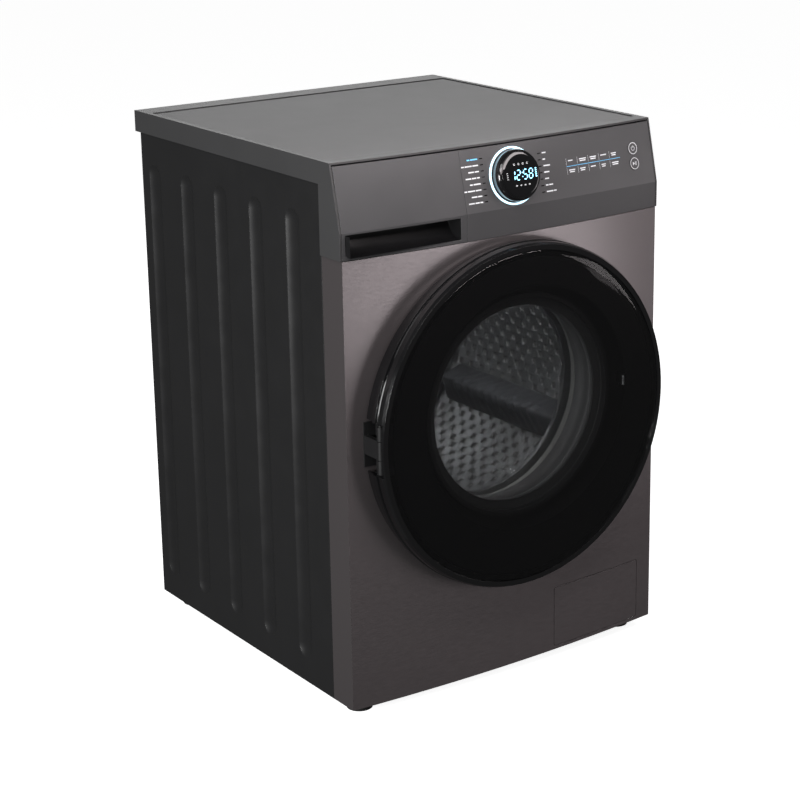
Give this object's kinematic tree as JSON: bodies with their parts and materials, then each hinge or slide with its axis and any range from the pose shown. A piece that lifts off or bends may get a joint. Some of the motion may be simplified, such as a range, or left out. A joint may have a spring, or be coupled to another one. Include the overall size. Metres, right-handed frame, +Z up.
{
  "type": "front load washing machine",
  "caption": "Free-standing front load washing machine with a bowed steel front, a round smoked-glass door, a detergent drawer, a knob with a display, and a sprung tub with a belt-driven drum.",
  "frame": {"origin": "on the floor, under the middle of the machine's bounding box", "axes": "+X to the right as seen from the front, +Y to the back, +Z up"},
  "size_m": [0.595, 0.664, 0.85],
  "materials": {
    "side_steel": "satin charcoal enamel on sheet steel",
    "front_steel": "brushed dark titanium finish on sheet steel",
    "zinc_steel": "zinc-coated steel",
    "black_steel": "black powder coat on steel",
    "stainless": "polished stainless steel",
    "cast_alloy": "as cast",
    "lid_plastic": "fine-grained dark grey plastic",
    "lid_board": "grey melamine laminate",
    "fascia_plastic": "satin painted dark grey plastic",
    "black_gloss": "high-gloss black plastic",
    "black_plastic": "moulded black plastic",
    "light_ring": "lit translucent ring",
    "display_glass": "dark display lens",
    "door_glass": "smoked glass",
    "bowl_glass": "clear pressed glass",
    "gasket_rubber": "grey EPDM rubber",
    "black_rubber": "black rubber",
    "tray_plastic": "blue-grey moulded plastic",
    "cap_plastic": "blue moulded plastic",
    "housing_plastic": "dark moulded plastic",
    "white_plastic": "white moulded plastic",
    "tub_plastic": "filled polypropylene",
    "lifter_plastic": "grey moulded plastic",
    "filter_plastic": "dark grey moulded plastic",
    "concrete": "cast concrete",
    "circuit_board": "green circuit board",
    "spring_steel": "oil-tempered spring wire"
  },
  "bodies": {
    "cabinet": {"left_side_panel": "side_steel", "right_side_panel": "side_steel", "front_panel": "front_steel", "rear_panel": "side_steel", "rear_cover": "side_steel", "base_tray": "black_plastic", "front_brace": "zinc_steel", "spring_hangers": "zinc_steel", "lid_frame": "lid_plastic", "lid_panel": "lid_board", "control_panel": "fascia_plastic", "control_board": "circuit_board", "knob_light_ring": "light_ring", "display_post": "black_plastic", "display_lens": "display_glass", "dispenser_housing": "housing_plastic", "inlet_valve": "white_plastic", "pressure_switch": "white_plastic", "cable_gland": "black_plastic", "drain_grommet": "black_rubber", "hinge_bracket": "black_steel", "hinge_pin": "black_steel", "door_lock": "white_plastic", "drain_pump": "white_plastic", "damper_cylinders": "black_plastic", "levelling_feet": "black_rubber", "panel_screws": "zinc_steel"},
    "drawer": {"drawer_front": "fascia_plastic", "drawer_tray": "tray_plastic", "siphon_cap": "cap_plastic"},
    "knob": {"knob": "black_gloss"},
    "power_button": {"power_button": "fascia_plastic"},
    "start_button": {"start_button": "fascia_plastic"},
    "door": {"door_frame": "black_gloss", "door_glass": "door_glass", "door_inner_frame": "black_plastic", "door_bowl": "bowl_glass", "hinge_leaf": "black_steel"},
    "latch": {"latch_hook": "stainless"},
    "service_flap": {"service_flap": "front_steel"},
    "pump_filter": {"pump_filter": "filter_plastic"},
    "tub": {"tub_front": "tub_plastic", "tub_rear": "tub_plastic", "counterweights": "concrete", "heater": "stainless", "drum_bearings": "zinc_steel", "shaft_seal": "black_rubber", "drive_belt": "black_rubber", "drive_motor": "cast_alloy", "door_gasket": "gasket_rubber", "gasket_clamp": "stainless", "damper_rods": "zinc_steel", "dispenser_hose": "black_rubber", "sump_hose": "black_rubber", "suspension_springs": "spring_steel"},
    "drum": {"drum": "stainless", "drum_lifters": "lifter_plastic", "drum_spider": "cast_alloy", "drum_pulley": "cast_alloy"},
    "motor_rotor": {"motor_pulley": "zinc_steel"}
  },
  "joints": [
    {"name": "door_hinge", "type": "hinge", "parent": "cabinet", "child": "door", "pos_m": [-0.262, -0.309, 0.435], "axis": [0, 0, -1], "range_deg": [0, 125]},
    {"name": "latch_pivot", "type": "hinge", "parent": "door", "child": "latch", "pos_m": [0.21, -0.296, 0.45], "axis": [0, 0, 1], "range_deg": [0, 5], "stiffness_Nm_per_rad": 0.5, "springref_deg": -2.86},
    {"name": "drawer_slide", "type": "slide", "parent": "cabinet", "child": "drawer", "axis": [0, -1, 0], "range_m": [0, 0.19]},
    {"name": "knob_turn", "type": "hinge", "parent": "cabinet", "child": "knob", "pos_m": [0.009, -0.27178, 0.798], "axis": [0, -0.9752, 0.2212], "continuous": true},
    {"name": "power_press", "type": "slide", "parent": "cabinet", "child": "power_button", "axis": [-0.0779, 0.9721, -0.2212], "range_m": [0, 0.0008], "stiffness_N_per_m": 2000, "springref_m": -0.0005},
    {"name": "start_press", "type": "slide", "parent": "cabinet", "child": "start_button", "axis": [-0.0779, 0.9721, -0.2212], "range_m": [0, 0.0008], "stiffness_N_per_m": 2000, "springref_m": -0.0005},
    {"name": "flap_hinge", "type": "hinge", "parent": "cabinet", "child": "service_flap", "pos_m": [0.257, -0.26756, 0.074], "axis": [0, 0, 1], "range_deg": [0, 100]},
    {"name": "filter_turn", "type": "hinge", "parent": "cabinet", "child": "pump_filter", "pos_m": [0.1735, -0.26, 0.074], "axis": [0, -1, 0], "range_deg": [0, 180]},
    {"name": "tub_suspension", "type": "slide", "parent": "cabinet", "child": "tub", "axis": [0, 0, 1], "range_m": [-0.008, 0.008], "stiffness_N_per_m": 14000, "springref_m": 0.02017, "deforming": ["suspension_springs", "dispenser_hose", "sump_hose", "door_gasket"]},
    {"name": "drum_spin", "type": "hinge", "parent": "tub", "child": "drum", "pos_m": [0, 0, 0.45], "axis": [0, 1, 0], "continuous": true},
    {"name": "motor_spin", "type": "hinge", "parent": "tub", "child": "motor_rotor", "pos_m": [-0.07, 0.17, 0.112], "axis": [0, 1, 0], "continuous": true}
  ],
  "couplings": [
    {"joint": "motor_spin", "follows": "drum_spin", "ratio": 11.154}
  ]
}
